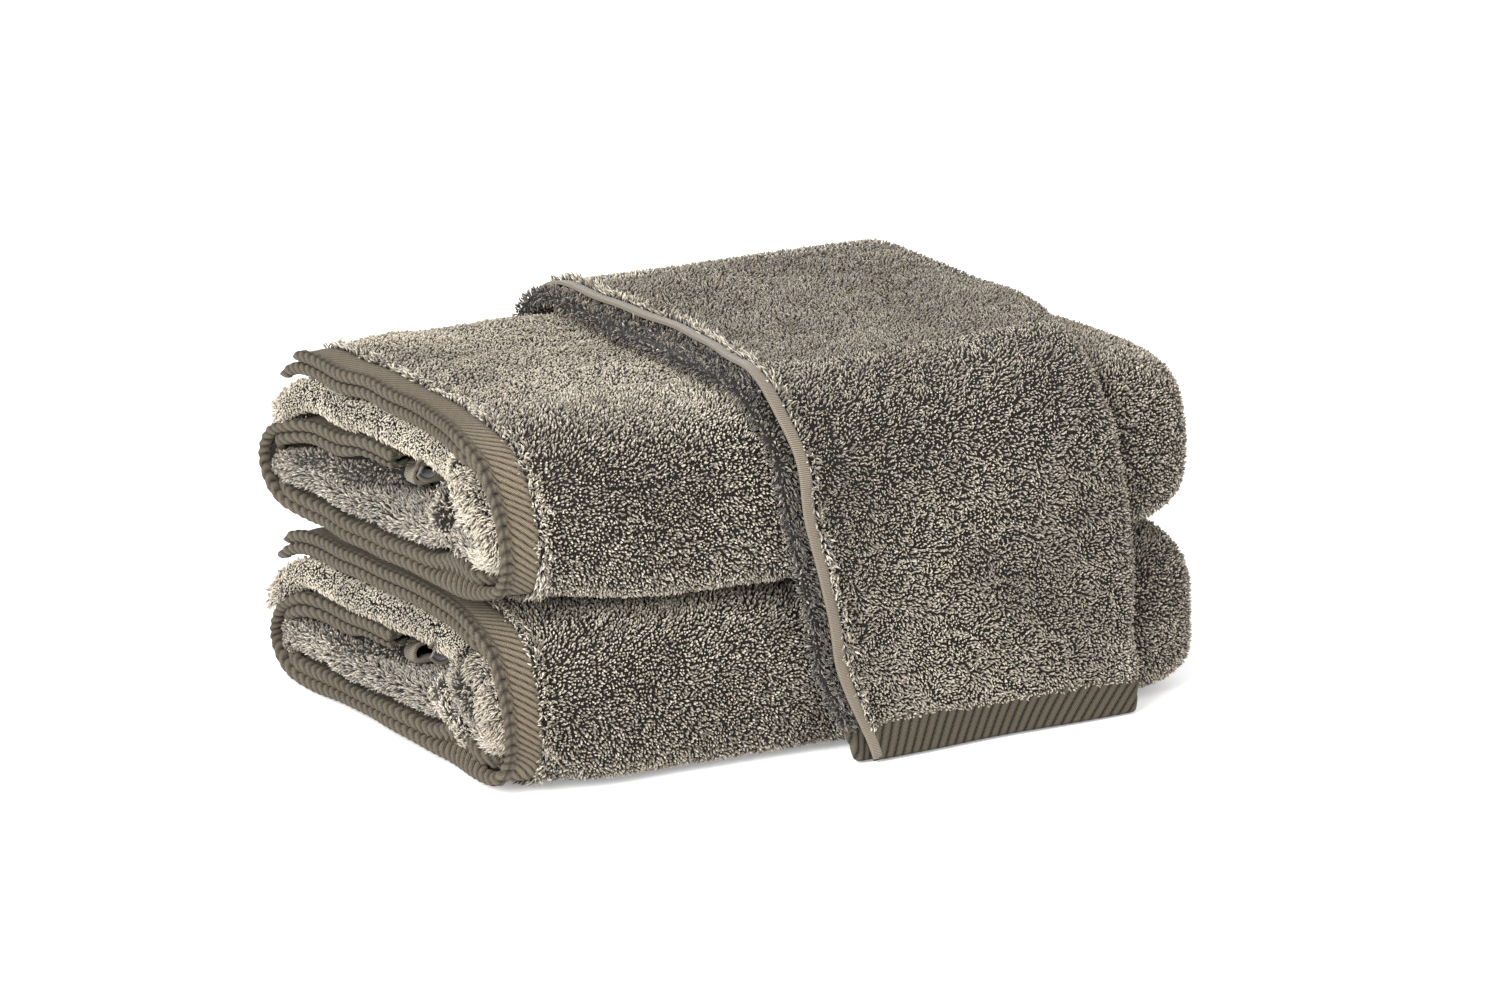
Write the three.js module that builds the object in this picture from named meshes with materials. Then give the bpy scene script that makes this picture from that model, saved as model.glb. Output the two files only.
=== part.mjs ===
// Bath towel set: two folded bath towels in a stack, with a hand towel draped over them.
// Units are millimetres. X runs along the stack from its hemmed end (-X) to its folded end (+X),
// Y runs from the front (-Y) to the back (+Y), and Z is up, with the floor at Z = 0.
import * as THREE from 'three';

// Folded bath towel
const TOWEL_LENGTH = 395;
const TOWEL_DEPTH = 270;
const PACK = 29;            // thickness of the four cloth layers that are folded together
const LAYER_GAP = 0.7;
const TOWEL_HEIGHT = 3 * PACK + 2 * LAYER_GAP;
const STACK_GAP = 0.6;
const FRONT_RADIUS = 40;
const BACK_RADIUS = PACK + LAYER_GAP / 2;
const FREE_EDGE_SETBACK = 22;   // from the back of the towel to the free edge of its top layer
const TUCKED_RUN = 120;         // how far the tucked layer reaches in from the back
const END_SKEW = 0.1;           // sideways slant of the hemmed end, fading to none at the folded end
const FIT = 0.35;               // clearance between neighbouring pieces

// Hems of the bath towel
const BORDER_WIDTH = 20;
const HEM_THICKNESS = 4.6;
const SIDE_HEM_WIDTH = 7;
const FOLDED_END_RADIUS = 42;
const ROLL_RADIUS = 7.5;
const ROLL_HOLE_RADIUS = 3.5;

// Draped hand towel
const HAND_WIDTH = 168;
const HAND_LEFT = 126;
const HAND_SETBACK = 12;        // how much of the lower layers shows beside the top layer
const HAND_LEAN = 0.2;          // sideways drift per millimetre of drop
const UNDER_THICKNESS = 8;
const TOP_THICKNESS = 4;
const HAND_BORDER = 20;
const SIDE_TAPE_WIDTH = 10;
const TAPE_THICKNESS = 2.4;
const HAND_CLEARANCE = 1.2;
const HAND_FRONT_RADIUS = FRONT_RADIUS + HAND_CLEARANCE;
const HAND_BACK_RADIUS = 26;
const FLOOR_CLEARANCE = 1.5;

const ROW_CENTRE_X = (TOWEL_LENGTH - END_SKEW * TOWEL_DEPTH / 2 - 0.4) / 2;

const TERRY = { color: 0x9c9283, roughness: 0.95, metalness: 0 };
const BORDER = { color: 0x857b6d, roughness: 0.85, metalness: 0 };
const TAPE = { color: 0x91877a, roughness: 0.85, metalness: 0 };

// A flat curve in the YZ plane, with the inward normal and the running length at each point.
class Curve {
  constructor(points) {
    this.points = points;
    this.normals = points.map((point, i) => {
      const before = points[Math.max(i - 1, 0)];
      const after = points[Math.min(i + 1, points.length - 1)];
      const along = after.clone().sub(before).normalize();
      return new THREE.Vector2(along.y, -along.x);
    });
    this.lengths = [0];
    for (let i = 1; i < points.length; i += 1) {
      this.lengths.push(this.lengths[i - 1] + points[i].distanceTo(points[i - 1]));
    }
  }

  get length() {
    return this.lengths[this.lengths.length - 1];
  }

  at(s) {
    let i = 0;
    while (i < this.points.length - 2 && this.lengths[i + 1] < s) i += 1;
    const t = (s - this.lengths[i]) / (this.lengths[i + 1] - this.lengths[i]);
    return {
      point: this.points[i].clone().lerp(this.points[i + 1], t),
      normal: this.normals[i].clone().lerp(this.normals[i + 1], t).normalize(),
    };
  }

  // Stations between two lengths: both ends and every point of the curve between them.
  stations(from, to) {
    const inside = this.lengths.filter((s) => s > from + 1 && s < to - 1);
    return [from, ...inside, to];
  }
}

function arc(centreY, centreZ, radius, fromDegrees, toDegrees, steps) {
  const points = [];
  for (let i = 0; i <= steps; i += 1) {
    const angle = THREE.MathUtils.degToRad(fromDegrees + (toDegrees - fromDegrees) * i / steps);
    points.push(new THREE.Vector2(centreY + radius * Math.cos(angle), centreZ + radius * Math.sin(angle)));
  }
  return points;
}

function line(fromY, fromZ, toY, toZ, steps) {
  const points = [];
  for (let i = 1; i < steps; i += 1) {
    points.push(new THREE.Vector2(fromY + (toY - fromY) * i / steps, fromZ + (toZ - fromZ) * i / steps));
  }
  return points;
}

// The outer face of the folded towel: over the top, down the front, back along the floor,
// up the back and in again under the top layer.
function towelCurve() {
  const half = TOWEL_DEPTH / 2;
  const tuckZ = 2 * BACK_RADIUS;
  return new Curve([
    new THREE.Vector2(half - FREE_EDGE_SETBACK, TOWEL_HEIGHT),
    ...line(half - FREE_EDGE_SETBACK, TOWEL_HEIGHT, FRONT_RADIUS - half, TOWEL_HEIGHT, 4),
    ...arc(FRONT_RADIUS - half, TOWEL_HEIGHT - FRONT_RADIUS, FRONT_RADIUS, 90, 180, 6),
    ...arc(FRONT_RADIUS - half, FRONT_RADIUS, FRONT_RADIUS, 180, 270, 6),
    ...line(FRONT_RADIUS - half, 0, half - BACK_RADIUS, 0, 4),
    ...arc(half - BACK_RADIUS, BACK_RADIUS, BACK_RADIUS, -90, 90, 10),
    new THREE.Vector2(half - TUCKED_RUN, tuckZ),
  ].reverse());
}

// The inner face of the hand towel: up the front, over the stack and down the back.
function handCurve() {
  const half = TOWEL_DEPTH / 2 + HAND_CLEARANCE;
  const top = 2 * TOWEL_HEIGHT + STACK_GAP + HAND_CLEARANCE;
  const back = half - HAND_BACK_RADIUS;
  const front = HAND_FRONT_RADIUS - half;
  return new Curve([
    new THREE.Vector2(half, FLOOR_CLEARANCE),
    ...line(half, FLOOR_CLEARANCE, half, top - HAND_BACK_RADIUS, 4),
    ...arc(back, top - HAND_BACK_RADIUS, HAND_BACK_RADIUS, 0, 90, 6),
    ...line(back, top, front, top, 5),
    ...arc(front, top - HAND_FRONT_RADIUS, HAND_FRONT_RADIUS, 90, 180, 8),
    ...line(-half, top - HAND_FRONT_RADIUS, -half, FLOOR_CLEARANCE, 4),
    new THREE.Vector2(-half, FLOOR_CLEARANCE),
  ].reverse());
}

// Rounded rectangle as [across, up] pairs, anticlockwise.
function roundedSection(width, thickness, steps = 2) {
  const radius = Math.min(width, thickness) * 0.48;
  const corners = [[1, -1, -90], [1, 1, 0], [-1, 1, 90], [-1, -1, 180]];
  return corners.flatMap(([sx, sy, start]) => {
    const centre = [sx * (width / 2 - radius), sy * (thickness / 2 - radius)];
    return Array.from({ length: steps + 1 }, (_, i) => {
      const angle = THREE.MathUtils.degToRad(start + 90 * i / steps);
      return [centre[0] + radius * Math.cos(angle), centre[1] + radius * Math.sin(angle)];
    });
  });
}

// One closed body from rings of equal size. Each end is capped by a fan about its middle.
function loft(rings) {
  const size = rings[0].length;
  const middles = [rings[0], rings[rings.length - 1]].map((ring) => (
    ring.reduce((sum, p) => sum.add(p), new THREE.Vector3()).divideScalar(size)
  ));
  const positions = [...rings.flat(), ...middles].flatMap((p) => [p.x, p.y, p.z]);
  const index = [];
  for (let i = 0; i < rings.length - 1; i += 1) {
    for (let j = 0; j < size; j += 1) {
      const a = i * size + j;
      const b = i * size + (j + 1) % size;
      index.push(a, b, b + size, a, b + size, a + size);
    }
  }
  const last = (rings.length - 1) * size;
  for (let j = 0; j < size; j += 1) {
    const next = (j + 1) % size;
    index.push(last + size, next, j, last + size + 1, last + j, last + next);
  }
  const geometry = new THREE.BufferGeometry();
  geometry.setAttribute('position', new THREE.Float32BufferAttribute(positions, 3));
  geometry.setIndex(index);
  return signedVolume(geometry) < 0 ? flipped(geometry) : geometry;
}

function signedVolume(geometry) {
  const position = geometry.getAttribute('position');
  const index = geometry.getIndex().array;
  const corner = (i) => new THREE.Vector3().fromBufferAttribute(position, index[i]);
  let volume = 0;
  for (let i = 0; i < index.length; i += 3) {
    volume += corner(i).dot(corner(i + 1).cross(corner(i + 2))) / 6;
  }
  return volume;
}

function flipped(geometry) {
  const index = geometry.getIndex().array;
  for (let i = 0; i < index.length; i += 3) {
    [index[i], index[i + 1]] = [index[i + 1], index[i]];
  }
  return geometry;
}

// A strip of cloth that follows a curve. depth is how far its two faces lie inside the curve
// (negative is outside), and the strip runs sideways from left to right, drifting by lean(point).
function clothStrip(curve, { from, to, depth, left, right, lean = () => 0 }) {
  const thickness = depth[1] - depth[0];
  const middle = (depth[0] + depth[1]) / 2;
  const section = roundedSection(right - left, thickness);
  const rings = curve.stations(from, to).map((s) => {
    const { point, normal } = curve.at(s);
    return section.map(([across, up]) => {
      const offset = middle - up;
      const y = point.x + normal.x * offset;
      const z = point.y + normal.y * offset;
      return new THREE.Vector3((left + right) / 2 + across + lean(point), y, z);
    });
  });
  return loft(rings);
}

// A block of cloth with the given outline in the YZ plane. Its folded end is rounded.
function clothBlock(outline, left, right, endRadius) {
  const centreZ = TOWEL_HEIGHT / 2;
  const stations = [[left, 0]];
  const steps = endRadius > 0 ? 6 : 0;
  for (let i = 0; i <= steps; i += 1) {
    const angle = steps ? i / steps * Math.PI / 2 * 0.93 : 0;
    stations.push([right - endRadius + endRadius * Math.sin(angle), endRadius * (1 - Math.cos(angle))]);
  }
  const rings = stations.map(([x, inset]) => {
    const scaleY = 1 - inset / (TOWEL_DEPTH / 2);
    const scaleZ = 1 - inset / centreZ;
    return outline.map((p) => new THREE.Vector3(x, p.x * scaleY, centreZ + (p.y - centreZ) * scaleZ));
  });
  return loft(rings);
}

function bodyOutline(curve) {
  const half = TOWEL_DEPTH / 2;
  const lower = TOWEL_HEIGHT - PACK;
  const edge = half - FREE_EDGE_SETBACK - SIDE_HEM_WIDTH - FIT;
  const around = curve.points.filter((p) => p.x < edge || p.y < lower - 1);
  return [new THREE.Vector2(edge, lower), ...around.slice(1), new THREE.Vector2(edge, TOWEL_HEIGHT)];
}

function rectangle(fromY, toY, fromZ, toZ, radius) {
  const width = toY - fromY;
  const height = toZ - fromZ;
  const grow = radius / (Math.min(width, height) * 0.48);
  return roundedSection(width, height)
    .map(([y, z]) => new THREE.Vector2((fromY + toY) / 2 + y, (fromZ + toZ) / 2 + z * Math.min(grow, 1)));
}

// A length of side hem that has rolled up on itself, seen end-on as a small ring.
function rolledHem() {
  const shape = new THREE.Shape();
  shape.absarc(0, 0, ROLL_RADIUS, 0, Math.PI * 2, false);
  const hole = new THREE.Path();
  hole.absarc(0, 0, ROLL_HOLE_RADIUS, 0, Math.PI * 2, true);
  shape.holes.push(hole);
  const geometry = new THREE.ExtrudeGeometry(shape, { depth: BORDER_WIDTH - 3, bevelEnabled: false, curveSegments: 12 });
  geometry.deleteAttribute('uv');
  geometry.deleteAttribute('normal');
  geometry.applyMatrix4(new THREE.Matrix4().makeBasis(
    new THREE.Vector3(0, 1, 0), new THREE.Vector3(0, 0, 1), new THREE.Vector3(1, 0, 0),
  ));
  return geometry.translate(2, -34, TOWEL_HEIGHT / 2 + 4);
}

// Slants the hemmed end, centres the row on X and lifts the towel to its place in the stack.
function placeTowel(geometry, lift) {
  const position = geometry.getAttribute('position');
  for (let i = 0; i < position.count; i += 1) {
    const x = position.getX(i);
    const slant = END_SKEW * position.getY(i) * (1 - x / TOWEL_LENGTH);
    position.setX(i, x + slant - ROW_CENTRE_X);
    position.setZ(i, position.getZ(i) + lift);
  }
  return geometry;
}

function bathTowel(prefix, lift) {
  const curve = towelCurve();
  const inset = curve.length;
  const strip = (near, far) => clothStrip(curve, {
    from: 0, to: inset, depth: [near, far], left: 0, right: BORDER_WIDTH - FIT,
  });
  const inner = HEM_THICKNESS + FIT;
  const innerEnd = inner + HEM_THICKNESS;
  const half = TOWEL_DEPTH / 2;
  const coreLow = PACK + LAYER_GAP;
  const coreHigh = TOWEL_HEIGHT - PACK - LAYER_GAP;
  const edge = half - FREE_EDGE_SETBACK;
  const pieces = [
    ['terry_body', clothBlock(bodyOutline(curve), BORDER_WIDTH, TOWEL_LENGTH, FOLDED_END_RADIUS), TERRY],
    ['end_hem_outer', strip(0, HEM_THICKNESS), BORDER],
    ['end_hem_inner', strip(inner, innerEnd), BORDER],
    ['end_fold', strip(innerEnd + FIT, PACK), TERRY],
    ['tucked_terry', clothBlock(rectangle(PACK + 1 - half, -48, coreLow, coreHigh, 9), 3, BORDER_WIDTH - FIT, 0), TERRY],
    ['rolled_side_hem', rolledHem(), TAPE],
    ['free_side_hem', clothBlock(
      rectangle(edge - SIDE_HEM_WIDTH, edge, TOWEL_HEIGHT - PACK + 1, TOWEL_HEIGHT, 3),
      BORDER_WIDTH, TOWEL_LENGTH - FOLDED_END_RADIUS, 0,
    ), TAPE],
  ];
  return pieces.map(([name, geometry, look]) => [`${prefix}_${name}`, placeTowel(geometry, lift), look]);
}

function handTowel() {
  const curve = handCurve();
  const shoulder = 2 * TOWEL_HEIGHT;
  const lean = (point) => {
    const drop = Math.max(0, shoulder - point.y);
    return (point.x < 0 ? drop * HAND_LEAN : drop * HAND_LEAN * 0.3) + 0.1 * (point.x + TOWEL_DEPTH / 2) - ROW_CENTRE_X;
  };
  const backEnd = curve.length;
  const underLeft = HAND_LEFT;
  const topLeft = HAND_LEFT + HAND_SETBACK;
  const right = HAND_LEFT + HAND_WIDTH;
  const under = [-UNDER_THICKNESS, 0];
  const top = [-UNDER_THICKNESS - TOP_THICKNESS - FIT, -UNDER_THICKNESS - FIT];
  const tape = [-UNDER_THICKNESS - TAPE_THICKNESS - FIT, -UNDER_THICKNESS - FIT];
  const tapeRight = topLeft + SIDE_TAPE_WIDTH;
  const cloth = (from, to, depth, left, far = right) => clothStrip(curve, { from, to, depth, left, right: far, lean });
  const border = HAND_BORDER;
  return [
    ['hand_under_fold', cloth(border + FIT, backEnd - border - FIT, under, underLeft), TERRY],
    ['hand_top_layer', cloth(border + FIT, backEnd - border - FIT, top, tapeRight + FIT), TERRY],
    ['hand_side_hem', cloth(border + FIT, backEnd - border - FIT, tape, topLeft, tapeRight), TAPE],
    ['hand_front_border', cloth(0, border, top, topLeft), BORDER],
    ['hand_front_border_under', cloth(0, border, under, underLeft), BORDER],
    ['hand_back_border', cloth(backEnd - border, backEnd, top, topLeft), BORDER],
    ['hand_back_border_under', cloth(backEnd - border, backEnd, under, underLeft), BORDER],
  ];
}

function build() {
  const group = new THREE.Group();
  const pieces = [
    ...bathTowel('lower', 0),
    ...bathTowel('upper', TOWEL_HEIGHT + STACK_GAP),
    ...handTowel(),
  ];
  pieces.forEach(([name, geometry, look]) => {
    const mesh = new THREE.Mesh(geometry, new THREE.MeshStandardMaterial(look));
    mesh.name = name;
    group.add(mesh);
  });
  return group;
}

export default build();
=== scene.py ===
"""Bath towel set: two folded terry bath towels in a stack, with a hand towel draped over them.

Everything is in metres in the row's frame: +X runs along the stack from its hemmed end to its
folded end, +Y from the front to the back, and +Z up from the surface that the stack stands on.
Cloth is laid out by following the real folds: each towel is one sheet whose flat coordinates are
folded into layers, and the hems, twill borders and pile loops are placed on that folded sheet.
"""
import logging
import math
from dataclasses import dataclass
from enum import Enum
from typing import Callable

import bpy
import numpy as np
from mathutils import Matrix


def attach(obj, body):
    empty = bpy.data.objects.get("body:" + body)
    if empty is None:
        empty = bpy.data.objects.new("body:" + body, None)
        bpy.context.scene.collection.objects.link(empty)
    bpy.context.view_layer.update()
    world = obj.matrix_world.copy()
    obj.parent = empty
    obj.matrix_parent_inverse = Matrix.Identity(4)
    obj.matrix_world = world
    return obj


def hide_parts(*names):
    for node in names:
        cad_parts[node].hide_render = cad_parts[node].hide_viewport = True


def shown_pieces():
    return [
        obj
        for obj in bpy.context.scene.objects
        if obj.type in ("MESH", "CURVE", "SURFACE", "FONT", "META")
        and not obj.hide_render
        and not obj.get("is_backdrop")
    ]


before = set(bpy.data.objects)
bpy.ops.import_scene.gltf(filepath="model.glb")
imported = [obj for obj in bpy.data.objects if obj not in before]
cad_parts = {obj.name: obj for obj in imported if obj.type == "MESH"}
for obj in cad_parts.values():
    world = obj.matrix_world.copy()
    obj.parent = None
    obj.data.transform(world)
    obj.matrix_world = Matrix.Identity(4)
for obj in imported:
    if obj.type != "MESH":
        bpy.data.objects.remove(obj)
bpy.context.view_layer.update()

LOG = logging.getLogger("bath_towel_set")
MM = 0.001
Array = np.ndarray
ClothMap = Callable[[Array, Array, Array], Array]
WAVE_SCALE = 0.314  # of a wave texture, for one band in each unit of length


# ---------------------------------------------------------------- numbers and curves

def smoothstep(value: Array) -> Array:
    """Returns value eased from 0 to 1, and held outside that range."""
    t = np.clip(value, 0.0, 1.0)
    return t * t * (3.0 - 2.0 * t)


def unit(vectors: Array) -> Array:
    """Returns the vectors, each at length 1."""
    return vectors / np.maximum(np.linalg.norm(vectors, axis=-1, keepdims=True), 1e-12)


def curve_through(points: Array, per_span: int) -> Array:
    """Runs a smooth curve through points, with the same number of steps in each span.

    Args:
        points: the points to pass through, one row each.
        per_span: steps between two neighbouring points.

    Returns:
        The points of the curve, both ends included.
    """
    ends = np.vstack([2 * points[0] - points[1], points, 2 * points[-1] - points[-2]])
    t = (np.arange(per_span) / per_span)[None, :, None]
    a, b, c, d = (ends[i:len(ends) - 3 + i, None, :] for i in range(4))
    square, cube = 2 * a - 5 * b + 4 * c - d, 3 * b - a - 3 * c + d
    spans = 0.5 * (2 * b + (c - a) * t + square * t**2 + cube * t**3)
    return np.vstack([spans.reshape(-1, points.shape[1]), points[-1]])


def running_length(points: Array) -> Array:
    """Returns the length along a curve at each of its points."""
    return np.concatenate([[0.0], np.cumsum(np.linalg.norm(np.diff(points, axis=0), axis=1))])


def arc(centre: tuple[float, float], radius: float, start: float, end: float, steps: int) -> Array:
    """Returns points on an arc, with its angles in degrees."""
    angle = np.radians(np.linspace(start, end, steps + 1))
    return np.stack([centre[0] + radius * np.cos(angle), centre[1] + radius * np.sin(angle)], axis=1)


class Ripple:
    """A smooth field of small displacements, the same every run, that makes cloth uneven."""

    def __init__(self, seed: int, wavelength: float, amplitude: float, waves: int = 7) -> None:
        """Draws the waves.

        Args:
            seed: picks the field.
            wavelength: the middle wavelength, in metres.
            amplitude: the usual size of the displacement, in metres.
            waves: how many waves are summed.
        """
        rng = np.random.default_rng(seed)
        self.direction = unit(rng.normal(size=(waves, 3))) * (2 * math.pi / wavelength)
        self.direction *= rng.uniform(0.6, 1.5, size=(waves, 1))
        self.phase = rng.uniform(0, 2 * math.pi, size=(waves, 3))
        self.scale = amplitude * math.sqrt(2.0 / waves)

    def at(self, points: Array) -> Array:
        """Returns the displacement at each point."""
        angle = points @ self.direction.T
        return self.scale * np.stack([np.sin(angle + self.phase[:, k]).sum(-1) for k in range(3)], axis=-1)


# ---------------------------------------------------------------- meshes

def mesh_piece(name: str, points: Array, faces: Array, uv: Array | None = None,
               shade: Array | None = None) -> bpy.types.Object:
    """Makes a smooth-shaded object from arrays.

    Args:
        name: the piece's name.
        points: one row for each vertex.
        faces: one row for each face, all with the same number of corners.
        uv: each vertex's place on the flat cloth, in metres.
        shade: each vertex's own tone, about 0 to 1, with painted shade and painted highlights in it.

    Returns:
        The new object, in the scene, at the origin.
    """
    mesh = bpy.data.meshes.new(name)
    mesh.vertices.add(len(points))
    mesh.vertices.foreach_set("co", np.ascontiguousarray(points, np.float32).ravel())
    corners = np.ascontiguousarray(faces, np.int32).ravel()
    mesh.loops.add(len(corners))
    mesh.loops.foreach_set("vertex_index", corners)
    mesh.polygons.add(len(faces))
    mesh.polygons.foreach_set("loop_start", np.arange(0, len(corners), faces.shape[1], dtype=np.int32))
    mesh.update(calc_edges=True)
    mesh.shade_smooth()
    if uv is not None:
        layer = mesh.uv_layers.new(name="cloth")
        layer.data.foreach_set("uv", np.ascontiguousarray(uv[corners], np.float32).ravel())
    if shade is not None:
        mesh.attributes.new("shade", "FLOAT", "POINT").data.foreach_set("value", shade.astype(np.float32))
    piece = bpy.data.objects.new(name, mesh)
    bpy.context.scene.collection.objects.link(piece)
    return piece


def grid_faces(rows: int, columns: int, wrap: bool) -> Array:
    """Returns the quads of a grid of points, closed on itself across its columns if wrap."""
    across = columns if wrap else columns - 1
    i, j = np.meshgrid(np.arange(rows - 1), np.arange(across), indexing="ij")
    after = (j + 1) % columns
    quads = [i * columns + j, (i + 1) * columns + j, (i + 1) * columns + after, i * columns + after]
    return np.stack([q.ravel() for q in quads], axis=1)


def facing_out(points: Array, faces: Array) -> Array:
    """Returns the quads of a closed shape, turned over if they face inward."""
    a, b, c, d = (points[faces[:, k]] for k in range(4))
    volume = np.einsum("ij,ij->i", a, np.cross(b, c)) + np.einsum("ij,ij->i", a, np.cross(c, d))
    return faces[:, ::-1] if volume.sum() < 0 else faces


# ---------------------------------------------------------------- finishes

def linear(hex_colour: str) -> tuple[float, float, float, float]:
    """Turns an sRGB hex colour such as a59b8a into a linear colour."""
    channels = [int(hex_colour[i:i + 2], 16) / 255 for i in (0, 2, 4)]
    return tuple(c / 12.92 if c <= 0.04045 else ((c + 0.055) / 1.055) ** 2.4 for c in channels) + (1.0,)


def add_node(tree: bpy.types.NodeTree, kind: str, settings: dict, links: dict) -> bpy.types.Node:
    """Adds one node.

    Args:
        tree: the material's node tree.
        kind: the node's type without its ShaderNode start.
        settings: node properties by name, or socket values by socket name or number.
        links: the socket that feeds each input, by input name or number.

    Returns:
        The new node.
    """
    node = tree.nodes.new("ShaderNode" + kind)
    for key, value in settings.items():
        if isinstance(key, str) and hasattr(node, key):
            setattr(node, key, value)
        else:
            node.inputs[key].default_value = value
    for key, source in links.items():
        tree.links.new(source, node.inputs[key])
    return node


def ramp(tree: bpy.types.NodeTree, source: bpy.types.NodeSocket,
         stops: list[tuple[float, str]]) -> bpy.types.Node:
    """Adds a colour ramp fed by source, with stops as (position, hex colour)."""
    node = add_node(tree, "ValToRGB", {}, {0: source})
    for place, colour in stops[2:]:
        node.color_ramp.elements.new(place).color = linear(colour)
    for element, (place, colour) in zip(node.color_ramp.elements, sorted(stops)):
        element.position = place
        element.color = linear(colour)
    return node


def new_material(name: str, roughness: float, sheen: float) -> tuple[bpy.types.Material, bpy.types.Node]:
    """Starts a cotton material and returns it with its shader."""
    material = bpy.data.materials.new(name)
    material.use_nodes = True
    shader = material.node_tree.nodes["Principled BSDF"]
    shader.inputs["Roughness"].default_value = roughness
    shader.inputs["Specular IOR Level"].default_value = 0.25
    shader.inputs["Sheen Weight"].default_value = sheen
    shader.inputs["Sheen Roughness"].default_value = 0.45
    return material, shader


def finished(shader: bpy.types.Node, colour: bpy.types.NodeSocket, height: bpy.types.NodeSocket,
             strength: float, depth: float) -> None:
    """Links the colour to the shader, and a bump of that strength and depth made from the height."""
    tree = shader.id_data
    bump = add_node(tree, "Bump", {"Strength": strength, "Distance": depth}, {"Height": height})
    tree.links.new(colour, shader.inputs["Base Color"])
    tree.links.new(bump.outputs["Normal"], shader.inputs["Normal"])


def on_cloth(tree: bpy.types.NodeTree) -> bpy.types.NodeSocket:
    """Adds the place on the flat cloth, in metres."""
    return add_node(tree, "UVMap", {"uv_map": "cloth"}, {}).outputs["UV"]


def shade_of(tree: bpy.types.NodeTree) -> bpy.types.NodeSocket:
    """Adds the tone that each vertex carries, painted shade and painted highlights included."""
    return add_node(tree, "Attribute", {"attribute_name": "shade"}, {}).outputs["Fac"]


def threads(tree: bpy.types.NodeTree, place: bpy.types.NodeSocket, direction: str, thread: float,
          distortion: float, detail: float = 2.0) -> bpy.types.NodeSocket:
    """Adds threads that lie side by side along direction, one for each thread's width."""
    settings = {"bands_direction": direction, "Scale": WAVE_SCALE / thread, "Distortion": distortion,
                "Detail": detail}
    return add_node(tree, "TexWave", settings, {"Vector": place}).outputs["Fac"]


@dataclass(frozen=True)
class TerryLoops:
    """Combed cotton terry, loops of soft ring-spun yarn: matt, with a pale bloom at grazing angles."""

    name: str = "combed_cotton_terry_loops"
    # The ramp runs from the dark of the painted shade at the loop roots to the light of the painted highlight
    # at their tips.
    dark: str = "1f1b16"
    middle: str = "766c5d"
    light: str = "d0c6b3"
    patch: float = 60 * MM
    drift: float = 0.5
    fibre: float = 0.5 * MM

    def material(self) -> bpy.types.Material:
        """Builds the material: each loop has its own tone, with painted shade at its root and a painted
        highlight at its tip, over slow random patches of lighter and darker tone.
        """
        material, shader = new_material(self.name, 0.92, 0.35)
        tree = material.node_tree
        place = add_node(tree, "TexCoord", {}, {}).outputs["Object"]
        patches = add_node(tree, "TexNoise", {"Scale": 1 / self.patch, "Detail": 2.0}, {"Vector": place})
        slow = add_node(tree, "Math", {"operation": "MULTIPLY_ADD", 1: self.drift, 2: -self.drift / 2},
                        {0: patches.outputs["Fac"]})
        total = add_node(tree, "Math", {"operation": "ADD", "use_clamp": True},
                         {0: shade_of(tree), 1: slow.outputs[0]})
        colour = ramp(tree, total.outputs[0], [(0.0, self.dark), (1.0, self.light), (0.5, self.middle)])
        fibres = add_node(tree, "TexNoise", {"Scale": 1 / self.fibre, "Detail": 1.0}, {"Vector": place})
        finished(shader, colour.outputs["Color"], fibres.outputs["Fac"], 0.35, 0.15 * MM)
        return material


@dataclass(frozen=True)
class GroundWeave:
    """The plain-woven cotton ground under the loops, which is only seen down between them; its dark colours
    are painted shade for the shadow there.
    """

    name: str = "cotton_ground_weave_painted_shade"
    # Both colours are painted shade: darker than the yarn, for the shadow down between the loops.
    dark: str = "14110e"
    light: str = "2c2720"
    thread: float = 0.9 * MM

    def material(self) -> bpy.types.Material:
        """Builds the material: crossed threads, dark in the hollows between them."""
        material, shader = new_material(self.name, 0.95, 0.1)
        tree = material.node_tree
        place = on_cloth(tree)
        crossed = [threads(tree, place, direction, self.thread, 0.4) for direction in ("X", "Y")]
        weave = add_node(tree, "Math", {"operation": "MULTIPLY"}, {0: crossed[0], 1: crossed[1]}).outputs[0]
        colour = ramp(tree, weave, [(0.0, self.dark), (1.0, self.light)])
        finished(shader, colour.outputs["Color"], weave, 0.5, 0.3 * MM)
        return material


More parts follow.
